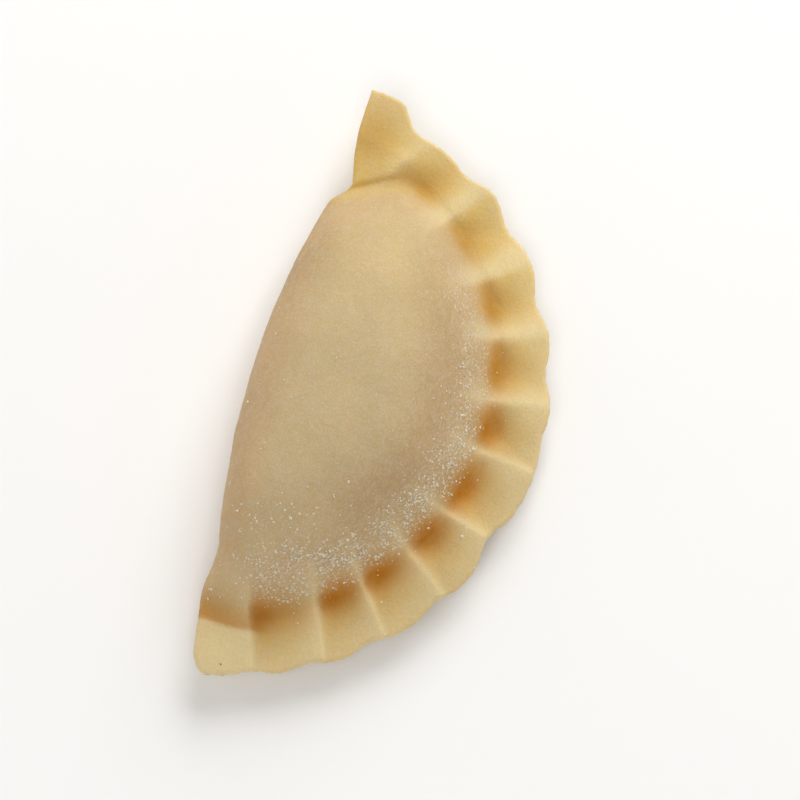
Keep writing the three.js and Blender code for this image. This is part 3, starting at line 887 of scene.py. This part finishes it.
def flour_material():
    n = Nodes("flour")
    n.put(n.shader.inputs["Base Color"], n.blend(n.noise(FLOUR_PATCHES), FLOUR_COLOUR, DUST_COLOUR))
    n.shader.inputs["Roughness"].default_value = 0.85
    n.shader.inputs["Specular IOR Level"].default_value = 0.3
    set_subsurface(n.shader, **FLOUR_SUBSURFACE)
    return n.material


def floor_material():
    n = Nodes("floor")
    n.put(n.shader.inputs["Base Color"], n.blend(n.noise(FLOOR_PATCHES), *FLOOR_COLOURS))
    n.shader.inputs["Roughness"].default_value = 0.9
    n.shader.inputs["Specular IOR Level"].default_value = 0.1
    return n.material


# ---- The pieces ------------------------------------------------------------------------------

plan = plan_grid()
top_grid, belly_grid, dough_masks = dough_grid(*plan)
flour_kept = 1 - HOLLOW_BARE_SHARE * dough_masks["hollow"]
dough_masks["dust"] = clamp01(flour_density(*plan[:2]) * flour_kept)
skin_mesh = dough_mesh(top_grid, belly_grid, dough_masks)
roughen(skin_mesh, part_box(NODE)[0][2])
dumpling = make_object("dough_skin", skin_mesh, dough_material())
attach(dumpling, "root")
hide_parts(NODE)

flour = make_object("flour_grains", flour_mesh(top_grid, dough_masks["dust"]), flour_material())
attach(flour, "root")


# ---- Floor, light and camera -----------------------------------------------------------------

FLOOR_HALF = 0.7
FLOOR_GAP = 0.00005
LOW, HIGH = (Vector(corner) for corner in CAD_BOX)
MIDDLE = (LOW + HIGH) / 2

floor_mesh = bpy.data.meshes.new("floor")
floor_corners = [(x, y, LOW.z - FLOOR_GAP) for x, y in ((-1, -1), (1, -1), (1, 1), (-1, 1))]
floor_mesh.from_pydata(floor_corners, [], [(0, 1, 2, 3)])
floor_mesh.transform(Matrix.Diagonal((FLOOR_HALF, FLOOR_HALF, 1, 1)))
floor = make_object("floor", floor_mesh, floor_material())


def area_light(name, direction, distance, size, watts):
    """A square lamp at a distance from the dumpling, facing it."""
    data = bpy.data.lights.new(name, "AREA")
    data.size = size
    data.energy = watts
    lamp = bpy.data.objects.new(name, data)
    way = Vector(direction).normalized()
    facing = way.to_track_quat("Z", "Y").to_matrix().to_4x4()
    lamp.matrix_world = Matrix.Translation(MIDDLE + way * distance) @ facing
    bpy.context.scene.collection.objects.link(lamp)


area_light("key", (0.8, -0.05, 0.65), distance=0.9, size=0.6, watts=5.9)
area_light("fill", (-0.4, 0.05, 1.0), distance=1.1, size=0.7, watts=3.8)

ROOM_COLOUR = (1.0, 0.96, 0.91, 1)
ROOM_LOW = 1.0
ROOM_HIGH = 0.31
ROOM_FADE = (0.12, 0.5)  # height above the horizon, as the sine of the angle


def room_light():
    """The room: bright down at the horizon, and dimmer overhead."""
    world = bpy.data.worlds.new("studio")
    world.use_nodes = True
    tree = world.node_tree
    background = tree.nodes["Background"]
    background.inputs["Color"].default_value = ROOM_COLOUR
    direction = tree.nodes.new("ShaderNodeTexCoord")
    split = tree.nodes.new("ShaderNodeSeparateXYZ")
    fade = tree.nodes.new("ShaderNodeMapRange")
    fade.interpolation_type = "SMOOTHSTEP"
    for name, number in zip(RANGE_SOCKETS, (*ROOM_FADE, ROOM_LOW, ROOM_HIGH)):
        fade.inputs[name].default_value = number
    tree.links.new(direction.outputs["Generated"], split.inputs["Vector"])
    tree.links.new(split.outputs["Z"], fade.inputs["Value"])
    tree.links.new(fade.outputs["Result"], background.inputs["Strength"])
    return world


bpy.context.scene.world = room_light()
bpy.context.scene.view_settings.view_transform = "Standard"

CAMERA_TILT = 12 * DEGREE  # off straight down, towards the blunt horn
CAMERA_ROLL = 15.6 * DEGREE  # the pointed horn leans this far to the right of straight up
CAMERA_DISTANCE = 0.40
FRAME_WIDTH = 0.112  # metres across the picture at the dumpling
SENSOR_WIDTH = 36

towards = Vector((-math.sin(CAMERA_TILT), 0, math.cos(CAMERA_TILT)))
along_fold = Vector((math.cos(CAMERA_TILT), 0, math.sin(CAMERA_TILT)))
to_rim = Vector((0, -1, 0))
up = math.cos(CAMERA_ROLL) * along_fold - math.sin(CAMERA_ROLL) * to_rim
right = math.cos(CAMERA_ROLL) * to_rim + math.sin(CAMERA_ROLL) * along_fold
lens = bpy.data.cameras.new("camera")
lens.sensor_width = SENSOR_WIDTH
lens.lens = SENSOR_WIDTH * CAMERA_DISTANCE / FRAME_WIDTH
lens.clip_start = 0.01
camera = bpy.data.objects.new("camera", lens)
turned = Matrix((right, up, towards)).transposed().to_4x4()
camera.matrix_world = Matrix.Translation(MIDDLE + towards * CAMERA_DISTANCE) @ turned
bpy.context.scene.collection.objects.link(camera)
bpy.context.scene.camera = camera
